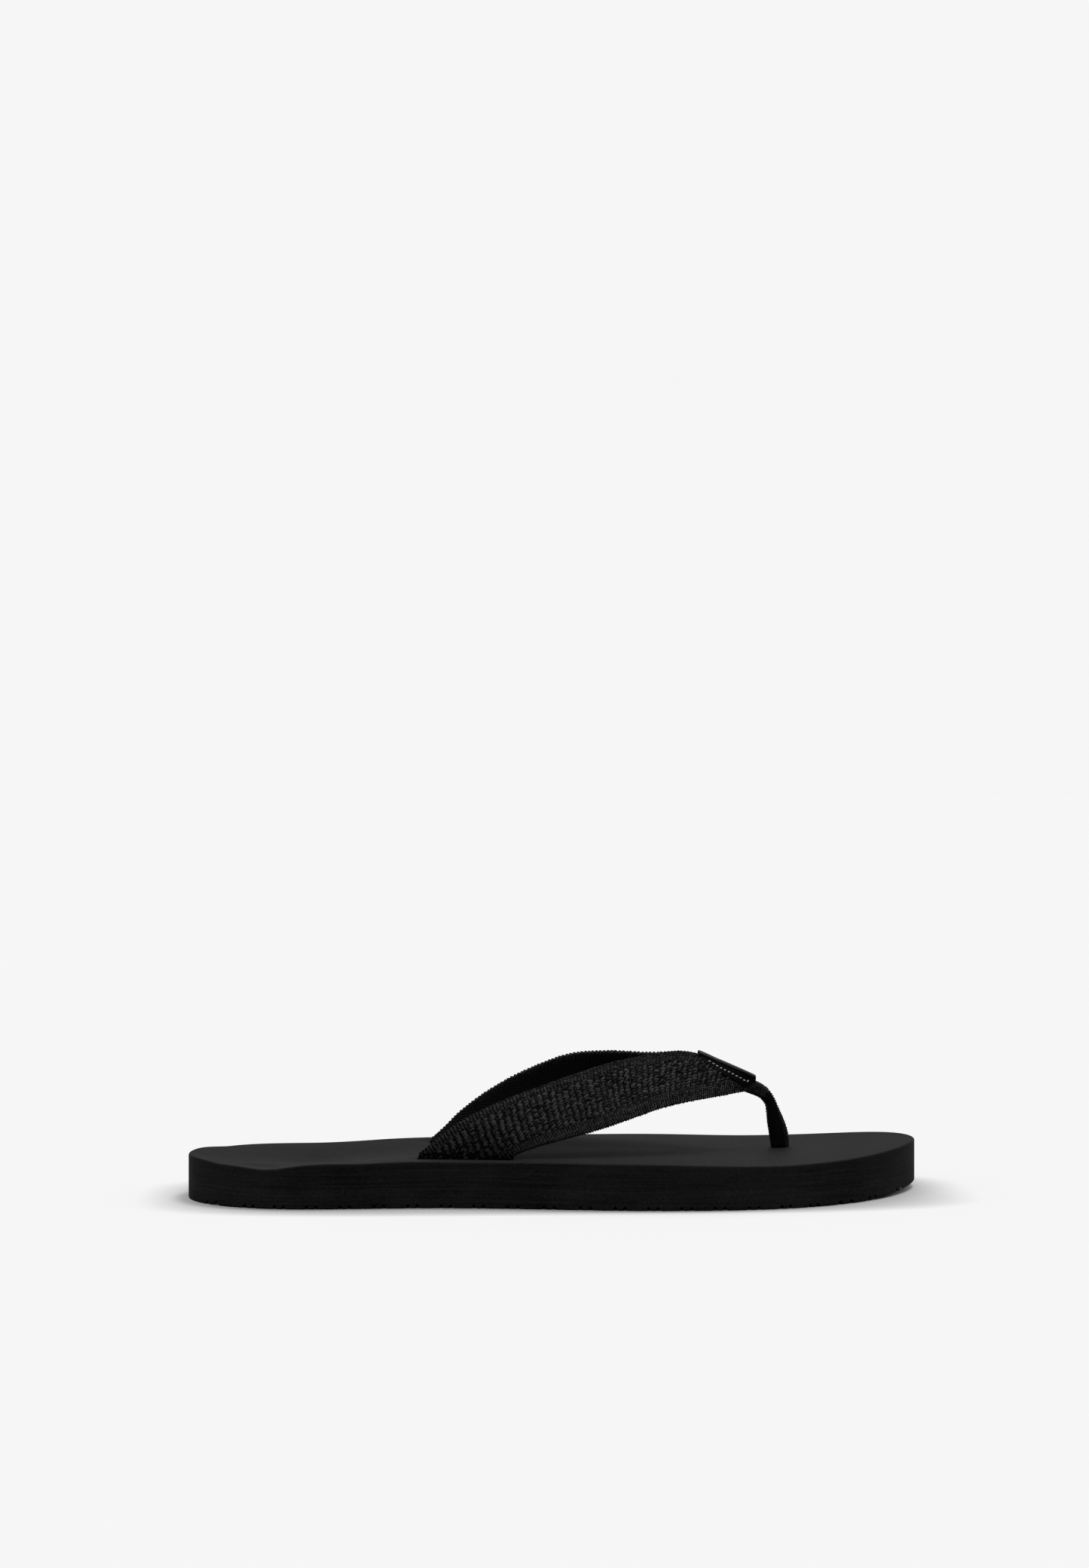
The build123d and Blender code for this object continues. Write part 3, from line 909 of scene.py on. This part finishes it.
# %% Node tree that lays floats in rows
def float_tree():
    g = Graph(
        "float_rows",
        [
            ("Edge Map", "String", "from_lower"),
            ("Other Map", "String", "from_upper"),
            ("Length", "Float", 1.25 * MM),
            ("Width", "Float", 0.72 * MM),
            ("Height", "Float", 0.45 * MM),
            ("Pitch Along", "Float", 1.05 * MM),
            ("Pitch Across", "Float", 0.74 * MM),
            ("First Row", "Float", 0.3 * MM),
            ("Rows", "Int", 7),
            ("Reach", "Float", 0.15),
            ("Row Shift", "Float", 0.5),
            ("Slant", "Float", 0.5),
            ("Keep From Other Edge", "Float", 0.0),
            ("Missing", "Float", 0.0),
            ("Sink", "Float", 0.1 * MM),
            ("Seed", "Int", 3),
            ("Segments", "Int", 6),
            ("Material", "Material", None),
        ],
    )
    cloth_in = g.input("Geometry")
    per_row = g.math("CEIL", g.math("DIVIDE", g.input("Reach"), g.input("Pitch Along")))
    total = g.math("MULTIPLY", per_row, g.input("Rows"))
    points = g.get("GeometryNodePoints", {"Count": total})
    index = g.get("GeometryNodeInputIndex")
    row = g.math("FLOOR", g.math("DIVIDE", g.math("ADD", index, 0.5), per_row))
    place = g.math("SUBTRACT", index, g.math("MULTIPLY", row, per_row))

    def random(low, high, offset):
        node = g.add("FunctionNodeRandomValue", data_type="FLOAT")
        g.feed(node.inputs[2], low)
        g.feed(node.inputs[3], high)
        g.feed(node.inputs["Seed"], g.math("ADD", g.input("Seed"), float(offset)))
        return node.outputs[1]

    shift = g.math("FRACT", g.math("MULTIPLY", row, g.input("Row Shift")))
    step = g.math("ADD", g.math("ADD", place, shift), random(-0.10, 0.10, 11))
    along = g.math("MULTIPLY", step, g.input("Pitch Along"))
    wobble = g.math("MULTIPLY", random(-0.08, 0.08, 12), g.input("Pitch Across"))
    across = g.math(
        "ADD",
        g.math("MULTIPLY_ADD", row, g.input("Pitch Across"), g.input("First Row")),
        wobble,
    )
    spot = g.vector(
        g.math("DIVIDE", along, cloth_span), g.math("DIVIDE", across, cloth_span), 0.0
    )

    def named(label, kind="FLOAT_VECTOR"):
        node = g.get("GeometryNodeInputNamedAttribute", {"Name": label}, data_type=kind)
        return node

    edge_map = named(g.input("Edge Map"))

    def sampled(value):
        node = g.add("GeometryNodeSampleUVSurface", data_type="FLOAT_VECTOR")
        g.feed(node.inputs["Mesh"], cloth_in)
        g.feed(node.inputs["Value"], value)
        g.feed(node.inputs["Source UV Map"], edge_map)
        g.feed(node.inputs["Sample UV"], spot)
        return node

    position = sampled(g.get("GeometryNodeInputPosition"))
    normal = sampled(g.get("GeometryNodeInputNormal")).outputs[0]
    course = sampled(named("course")).outputs[0]
    other = sampled(named(g.input("Other Map"))).outputs[0]
    other_distance = g.math("MULTIPLY", g.part(other, "Y"), cloth_span)
    too_near = g.math("LESS_THAN", other_distance, g.input("Keep From Other Edge"))
    missing = g.math("LESS_THAN", random(0.0, 1.0, 13), g.input("Missing"))
    off_cloth = g.math("SUBTRACT", 1.0, position.outputs[1])
    drop = g.math("MAXIMUM", g.math("MAXIMUM", too_near, missing), off_cloth)
    sink = g.add("ShaderNodeVectorMath", {0: normal}, operation="SCALE")
    g.feed(sink.inputs["Scale"], g.math("MULTIPLY", g.input("Sink"), -1.0))
    placed = g.get(
        "GeometryNodeSetPosition",
        {"Geometry": points, "Position": position.outputs[0], "Offset": sink.outputs[0]},
    )
    shaded = g.get(
        "GeometryNodeStoreNamedAttribute",
        {"Geometry": placed, "Name": "shade", "Value": random(0.0, 1.0, 14)},
        data_type="FLOAT",
        domain="POINT",
    )
    upright = g.turned_to(normal, axis="Z").outputs[0]
    forward = g.turned_to(course, axis="X", pivot_axis="Z")
    g.feed(forward.inputs["Rotation"], upright)
    slant = g.math("ADD", g.input("Slant"), random(-0.12, 0.12, 15))
    turned = g.turned_further(forward.outputs[0], z=slant)
    kept = g.get(
        "GeometryNodeDeleteGeometry", {"Geometry": shaded, "Selection": drop}, domain="POINT"
    )
    ball = g.small_ball(g.input("Segments"), 4, (0.0, math.pi / 2, 0.0))
    size = g.vector(
        g.math("MULTIPLY", g.input("Length"), random(0.86, 1.14, 16)),
        g.math("MULTIPLY", g.input("Width"), random(0.92, 1.08, 17)),
        g.math("MULTIPLY", g.input("Height"), 2.0),
    )
    return g.finish(g.copies(kept, ball, Rotation=turned, Scale=size))


floats_over = float_tree()


# %% Lay the weave on both arms
edge_grain = {
    "Length": 1.50 * MM, "Width": 0.70 * MM, "Height": 0.55 * MM, "Pitch Along": 1.25 * MM,
    "Pitch Across": 0.92 * MM, "First Row": 0.32 * MM, "Rows": 6, "Slant": 0.75,
}
ground_grain = {
    "Length": 1.00 * MM, "Width": 0.52 * MM, "Height": 0.22 * MM, "Pitch Along": 1.30 * MM,
    "Pitch Across": 1.00 * MM, "First Row": 5.6 * MM, "Rows": 26, "Slant": 0.6,
    "Keep From Other Edge": 5.2 * MM, "Missing": 0.15,
}
lump = {
    "Length": 2.60 * MM, "Width": 1.05 * MM, "Height": 0.80 * MM, "Pitch Along": 2.75 * MM,
    "Pitch Across": 1.22 * MM, "First Row": 6.0 * MM, "Rows": 21, "Row Shift": 0.37,
    "Slant": 0.45, "Keep From Other Edge": 5.6 * MM, "Missing": 0.10, "Segments": 8,
}


def joined(name, pieces):
    """One mesh of many floats, each keeping its own shade."""
    bm = bmesh.new()
    shade = []
    for piece in pieces:
        values = np.zeros(len(piece.data.vertices), np.float32)
        piece.data.attributes["shade"].data.foreach_get("value", values)
        shade.append(values)
        bm.from_mesh(piece.data)
    mesh = bpy.data.meshes.new(name)
    bm.to_mesh(mesh)
    bm.free()
    for layer in list(mesh.attributes):
        if layer.name == "shade":
            mesh.attributes.remove(layer)
    mesh.materials.clear()
    mesh.materials.append(strap_yarn)
    mesh.polygons.foreach_set("material_index", np.zeros(len(mesh.polygons), np.int32))
    whole = in_scene(name, mesh)
    places = np.zeros(3 * len(mesh.vertices))
    mesh.vertices.foreach_get("co", places)
    # a darker tone painted towards the roots stands in for the shading down there
    darkened = 0.35 + 0.65 * smoothstep((places[2::3] - 16 * MM) / (30 * MM))
    set_shade(whole, np.concatenate(shade) * darkened)
    mesh.shade_smooth()
    for piece in pieces:
        thrown_away(piece)
    return whole


def laid(ground, values):
    """One layer of floats on a copy of the cloth."""
    copy = in_scene("floats", ground.data.copy())
    return run_nodes(copy, floats_over, {"Material": strap_yarn, **values})


swapped = {"Edge Map": "from_upper", "Other Map": "from_lower"}


def weave(side):
    ground = arm_cloth(side)
    flip = -band_sides[side]

    def slanted(kind, seed):
        return {**kind, "Slant": kind["Slant"] * flip, "Seed": seed}

    parts = [
        laid(ground, slanted(edge_grain, 3)),
        laid(ground, {**slanted(edge_grain, 4), **swapped, "Slant": -0.55 * flip}),
        laid(ground, slanted(ground_grain, 5)),
        laid(ground, slanted(lump, 6)),
    ]
    print(side, "floats:", [triangles(p) for p in parts])
    thrown_away(ground)
    return joined(f"{side}_weave", parts)


def inner_edges(side):
    """The plain edge bands show on the inner face too."""
    ground = arm_cloth(side, inner=True)
    small = {**edge_grain, "Height": 0.42 * MM, "Rows": 5}
    parts = [
        laid(ground, {**small, "Seed": 31}),
        laid(ground, {**small, "Seed": 32, **swapped}),
    ]
    thrown_away(ground)
    return joined(f"{side}_inner_edges", parts)


weaves = {side: weave(side) for side in strap_rows}
inner_weaves = {side: inner_edges(side) for side in strap_rows}
for piece in (*weaves.values(), *inner_weaves.values()):
    print(piece.name, triangles(piece), "triangles")

# %% [markdown]
# ## Toe post
# The post is a narrow webbing, twisted so that its flat side faces outwards at the bottom and
# its edge rolls over at the top, where it is sewn between the two arms. It is swept along a
# curve as a rounded section. Only its front, back and top carry the raised weave.

# %% Sweep the post
post_path = [
    (87.8, 14.3, 14.6), (87.5, 14.3, 18.2), (86.8, 14.2, 22.0), (85.8, 14.1, 26.0),
    (84.8, 13.9, 29.6), (83.9, 13.7, 32.8), (82.2, 13.5, 35.6), (79.9, 13.3, 37.6),
    (77.2, 13.2, 38.9), (74.2, 13.2, 39.8),
]
post_half_width = [3.2, 3.45, 3.45, 3.05, 2.4, 1.85, 1.95, 2.3, 2.55, 2.35]
post_half_depth = [1.5, 1.6, 1.7, 1.7, 1.75, 1.9, 2.1, 2.35, 2.6, 2.6]
post_turn = [0.0, 0.0, 4.0, 10.0, 18.0, 24.0, 20.0, 10.0, 0.0, 0.0]


post_squareness = 3.2


def post_surface(columns, angles):
    """Grid of points round the post, distance along it and its centre line."""
    rows = np.array([
        (*np.array(p) * MM, w * MM, d * MM, math.radians(t))
        for p, w, d, t in zip(post_path, post_half_width, post_half_depth, post_turn)
    ])
    line = smooth_through(rows, columns)
    centre, wide, deep, turn = line[:, :3], line[:, 3], line[:, 4], line[:, 5]
    course = np.gradient(centre, axis=0)
    course /= np.linalg.norm(course, axis=1)[:, None]
    side = np.cross(np.array([0.0, 1.0, 0.0]), course)
    side /= np.linalg.norm(side, axis=1)[:, None]
    far = np.cross(course, side)
    cos, sin = np.cos(angles), np.sin(angles)
    u = np.sign(cos) * np.abs(cos) ** (2 / post_squareness)
    v = np.sign(sin) * np.abs(sin) ** (2 / post_squareness)
    a = side * np.cos(turn)[:, None] + far * np.sin(turn)[:, None]
    b = -side * np.sin(turn)[:, None] + far * np.cos(turn)[:, None]
    grid = (
        centre[:, None]
        + a[:, None] * (u[None] * wide[:, None])[:, :, None]
        + b[:, None] * (v[None] * deep[:, None])[:, :, None]
    )
    return grid, distance_along(centre), centre


ring_angles = np.linspace(0, 2 * math.pi, 40, endpoint=False)
post_columns = 150
grid, along, _ = post_surface(post_columns, ring_angles)
post_web = closed_tube("toe_post_webbing", list(grid), post_yarn)
set_shade(post_web, np.full(len(post_web.data.vertices), 0.5))
print("post:", round(along[-1] / MM, 1), "mm long,", triangles(post_web), "triangles")


# %% Raised weave on the post
def post_cloth(name, first, last, start, end):
    """Cloth on part of the post, from one angle to another and between two shares of its run."""
    angles = np.radians(np.linspace(first, last, 36))
    cut = slice(int(start * post_columns), int(end * post_columns))
    grid, along, centre = (values[cut] for values in post_surface(post_columns, angles))
    normal = grid_normals(grid)
    if np.sum(normal * (grid - centre[:, None])) < 0:
        normal = -normal
    return cloth(name, grid, along - along[0], normal, 0.0)


post_grain = {
    "Length": 1.15 * MM, "Width": 0.66 * MM, "Height": 0.32 * MM, "Pitch Along": 0.92 * MM,
    "Pitch Across": 0.66 * MM, "First Row": 0.2 * MM, "Rows": 26, "Slant": 0.6, "Reach": 0.05,
}
grounds = [
    post_cloth("post_front", -64, 190, 0.0, 0.62),
    post_cloth("post_top", -130, 228, 0.62, 1.0),
]
post_parts = [laid(g, {**post_grain, "Seed": 20 + i}) for i, g in enumerate(grounds)]
for ground in grounds:
    thrown_away(ground)
post_weave = joined("toe_post_weave", post_parts)
print("post floats:", triangles(post_weave), "triangles")

# %% [markdown]
# ## Label
# A short woven tape is folded over the ridge where the two arms meet, and sewn through. Each
# cross-section starts low on the outer face, climbs over the ridge and comes down on the other
# side. The front end is cut at a slant and stands a little proud. Its lettering isn't copied:
# a plain row of woven dashes stands in for it.

# %% Fold the label over the ridge
label_rear_x = 55.6 * MM
ridge_front_x = 74.6 * MM
label_overhang = 3.6 * MM
label_thick = 0.6 * MM
label_stand = 1.25 * MM
label_front_lift = 1.0 * MM


def ridge_rows(count):
    """Upper edge of each arm under the label, and the direction down its outer face."""
    xs = np.linspace(label_rear_x, ridge_front_x, count)
    edges = []
    for side in strap_rows:
        up, low = arm_edges(side, 600)
        edges.append((at_distances(up, up[:, 0], xs), at_distances(low, up[:, 0], xs)))
    near_upper = edges[0][0]
    ahead = near_upper[-1] - near_upper[-4]
    ahead /= np.linalg.norm(ahead)
    more = 12
    steps = np.linspace(0, label_overhang, more + 1)[1:, None] * ahead
    rows = []
    for up, low in edges:
        down = low - up
        down /= np.linalg.norm(down, axis=1)[:, None]
        down = np.vstack([down, np.repeat(down[-1:], more, axis=0)])
        rows.append((np.vstack([up, up[-1] + steps]), down))
    return rows


def label_sections(count=64, around=41):
    """Points across the folded tape, from low on the outer side to low on the inner side."""
    (a, down_a), (b, down_b) = ridge_rows(count)
    sections = []
    for i, t in enumerate(np.linspace(0, 1, len(a))):
        cut = smoothstep((t - 0.80) / 0.20)
        drop = (3.9 + 1.3 * smoothstep(t / 0.35)) * MM * (1 - 0.75 * cut)
        stand = label_stand
        out_a, out_b = np.array([0, -stand, 0.35 * stand]), np.array([0, stand, 0.35 * stand])
        lift = np.array([0, 0, label_front_lift * smoothstep((t - 0.25) / 0.75)])
        crown = (a[i] + b[i]) / 2 + [0, 0, stand + 0.35 * MM]
        section = [
            a[i] + down_a[i] * drop + out_a,
            a[i] + down_a[i] * 0.55 * drop + out_a,
            a[i] + down_a[i] * 0.12 * drop + out_a * [1, 0.98, 1],
            a[i] + np.array([0, -0.80 * stand, 0.80 * stand]),
            crown,
            b[i] + np.array([0, 0.80 * stand, 0.80 * stand]),
            b[i] + down_b[i] * 0.12 * drop + out_b * [1, 0.98, 1],
            b[i] + down_b[i] * 0.55 * drop + out_b,
            b[i] + down_b[i] * drop + out_b,
        ]
        sections.append(smooth_through(section, around) + lift)
    return np.array(sections)


label_grid = label_sections()
normal = grid_normals(label_grid)
if normal[:, label_grid.shape[1] // 2, 2].mean() < 0:
    normal = -normal
half = label_thick / 2
rings = np.concatenate([label_grid + normal * half, (label_grid - normal * half)[:, ::-1]], 1)
label = closed_tube("label", list(rings), label_satin)
# painted light: the label is lighter where it faces up, a painted highlight on its top fold, and darker on
# its side faces, a painted shade
facing_up = np.array([v.normal.z for v in label.data.vertices])
set_shade(label, smoothstep((facing_up - 0.55) / 0.3))
print("label:", triangles(label), "triangles")


# %% Dashes and stitches follow lines on the label
def stitch_tree():
    g = Graph(
        "stitches_on_a_line",
        [
            ("Length", "Float", 1.2 * MM), ("Width", "Float", 0.35 * MM),
            ("Height", "Float", 0.12 * MM), ("Spacing", "Float", 1.8 * MM),
            ("Slant", "Float", 0.0), ("Material", "Material", None),
        ],
    )
    line = g.get("GeometryNodeMeshToCurve", {"Mesh": g.input("Geometry")})
    spots = g.add("GeometryNodeCurveToPoints", {"Curve": line}, mode="LENGTH")
    g.feed(spots.inputs["Length"], g.input("Spacing"))
    ball = g.small_ball(8, 5, (math.pi / 2, 0.0, 0.0))
    level = g.turned_to(spots.outputs["Tangent"], axis="X").outputs[0]
    turned = g.turned_further(level, y=g.input("Slant"))
    size = g.vector(g.input("Length"), g.input("Height"), g.input("Width"))
    return g.finish(g.copies(spots.outputs["Points"], ball, Rotation=turned, Scale=size))


stitches_on = stitch_tree()


def stitched(name, line, values):
    mesh = bpy.data.meshes.new(name)
    mesh.from_pydata([tuple(p) for p in line], [(i, i + 1) for i in range(len(line) - 1)], [])
    piece = run_nodes(in_scene(name, mesh), stitches_on, values)
    set_shade(piece, np.full(len(piece.data.vertices), 0.5))
    return piece


def on_label(share, first, last):
    """A line on the label's outer face, at a share of its girth and between two of its length."""
    column = int(round(share * (label_grid.shape[1] - 1)))
    rows = slice(int(first * len(label_grid)), int(last * len(label_grid)))
    return (label_grid + normal * half)[rows, column]


dashes = stitched(
    "label_dashes",
    on_label(0.15, 0.14, 0.86),
    {"Length": 1.25 * MM, "Width": 0.62 * MM, "Height": 0.10 * MM, "Spacing": 1.75 * MM,
     "Slant": -0.5, "Material": label_thread},
)
seam = stitched(
    "label_seam",
    on_label(0.045, 0.03, 0.92),
    {"Length": 1.0 * MM, "Width": 0.26 * MM, "Height": 0.14 * MM, "Spacing": 1.35 * MM,
     "Material": post_yarn},
)
print("label marks:", triangles(dashes), triangles(seam))

# %% [markdown]
# ## Hand every piece to its body
# The footbed and outsole bend over the ball of the foot. Each arm is held by the sole at its
# root and by the yoke above. The post is held by the forefoot at its foot. A blend moves a
# point with one body at the start, with the other at the end, and smoothly in between.

# %% Ride, blend and replace
bend_length = 44 * MM
for piece, nodes, name in (
    (footbed, ("footbed_rear", "footbed_front"), "footbed"),
    (outsole, ("outsole_rear", "outsole_front"), "outsole"),
):
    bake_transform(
        piece, "rear_sole", "forefoot",
        (flex_line.x - bend_length / 2, 0, flex_line.z),
        (flex_line.x + bend_length / 2, 0, flex_line.z),
    )
    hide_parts(*nodes)

arm_bend_low, arm_bend_high = 17.5 * MM, 28.0 * MM
post_bend_low, post_bend_high = 16.0 * MM, 24.0 * MM
for side in strap_rows:
    for piece in (webbings[side], weaves[side], inner_weaves[side]):
        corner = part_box(f"{side}_strap")[0]
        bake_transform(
            piece, "rear_sole", "yoke",
            (corner.x, corner.y, arm_bend_low), (corner.x, corner.y, arm_bend_high),
        )
    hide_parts(f"{side}_strap")

for piece in (post_web, post_weave):
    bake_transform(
        piece, "forefoot", "post",
        (post_pivot.x, post_pivot.y, post_bend_low), (post_pivot.x, post_pivot.y, post_bend_high),
    )
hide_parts("toe_post")

for piece in (label, dashes, seam):
    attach(piece, "yoke")
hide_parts("strap_label")

# %% [markdown]
# ## Better materials for the CAD nodes that stay
# The tails of the straps, the anchor of the post and the tongue between the arms stay as CAD
# nodes. They sit inside the sole or under the label, so they only need a fitting material.

# %% Materials for the remaining CAD nodes
for node, material in (
    ("lateral_strap_tail", ribbed_yarn), ("medial_strap_tail", ribbed_yarn),
    ("toe_post_tail", post_yarn), ("toe_post_tongue", post_yarn), ("toe_anchor", outsole_foam),
):
    for slot in frame["nodes"][node].material_slots:
        slot.material = material

# %% [markdown]
# ## Floor, light and camera
# A pale floor under a wide sky gives a nearly shadowless look. The sky is even near the
# horizon and brighter overhead. The one soft lamp adds a gentle direction, so that the foam's
# rounded edges and the yarn can be read. The floor's glow keeps it white without more light.

# %% Stage
world = bpy.data.worlds.new("studio")
bpy.context.scene.world = world
world.use_nodes = True
sky = world.node_tree.nodes["Background"]
sky.inputs["Color"].default_value = (1, 1, 1, 1)
heading = add_node(world.node_tree, "ShaderNodeTexCoord")
parts = add_node(world.node_tree, "ShaderNodeSeparateXYZ")
overhead = add_node(
    world.node_tree,
    "ShaderNodeMapRange",
    {"From Min": 0.34, "From Max": 0.85, "To Min": 0.92, "To Max": 2.6},
    interpolation_type="SMOOTHSTEP",
)
world.node_tree.links.new(heading.outputs["Generated"], parts.inputs[0])
world.node_tree.links.new(parts.outputs["Z"], overhead.inputs["Value"])
world.node_tree.links.new(overhead.outputs["Result"], sky.inputs["Strength"])

floor_material, tree, floor_shader = new_material("floor", (0.22, 0.22, 0.22), 1.0, 0.0)
floor_shader.inputs["Emission Color"].default_value = (1, 1, 1, 1)
# the floor glows a little, except in a rounded patch round the sole, where only light falls:
# the patch is darker, a painted contact shadow that adds to the real one
spot = add_node(tree, "ShaderNodeTexCoord")
shrink = add_node(tree, "ShaderNodeVectorMath", operation="DIVIDE")
shrink.inputs[1].default_value = (0.147, 0.057, 1.0)
squares = add_node(tree, "ShaderNodeVectorMath", operation="MULTIPLY")
fourths = add_node(tree, "ShaderNodeVectorMath", operation="MULTIPLY")
away = add_node(tree, "ShaderNodeVectorMath", operation="DOT_PRODUCT")
away.inputs[1].default_value = (1, 1, 0)
glow = add_node(
    tree, "ShaderNodeMapRange", {"From Min": 0.5, "From Max": 1.5, "To Min": 0.0, "To Max": 0.33},
    interpolation_type="SMOOTHSTEP",
)
tree.links.new(spot.outputs["Object"], shrink.inputs[0])
for k in (0, 1):
    tree.links.new(shrink.outputs[0], squares.inputs[k])
    tree.links.new(squares.outputs[0], fourths.inputs[k])
tree.links.new(fourths.outputs[0], away.inputs[0])
tree.links.new(away.outputs["Value"], glow.inputs["Value"])
tree.links.new(glow.outputs["Result"], floor_shader.inputs["Emission Strength"])
bpy.ops.mesh.primitive_circle_add(
    vertices=96, radius=60, fill_type="NGON", location=(0, 0, -0.05 * MM)
)
floor = bpy.context.object
floor.name = "floor"
floor.data.materials.append(floor_material)

lamp_data = bpy.data.lights.new("soft_sun", "SUN")
lamp_data.energy = 2.4
lamp_data.angle = math.radians(18)
lamp = in_scene("soft_sun", lamp_data)
lamp.rotation_euler = Vector((-0.30, -0.22, -1.0)).to_track_quat("-Z", "Y").to_euler()

camera_data = bpy.data.cameras.new("camera")
camera_data.lens = 71.85
camera_data.sensor_width = 36.0
camera = in_scene("camera", camera_data)
camera.location = (-0.0784, -1.1975, 0.157)
camera_turn = math.radians(3.5)
look = Vector((math.sin(camera_turn), math.cos(camera_turn), 0.0))
camera.rotation_euler = look.to_track_quat("-Z", "Y").to_euler()
bpy.context.scene.camera = camera
bpy.context.scene.view_settings.view_transform = "Standard"

# %% Print the measured sizes and finish
print("CAD box ", [round(v / MM, 1) for v in (*cad_box[0], *cad_box[1])])
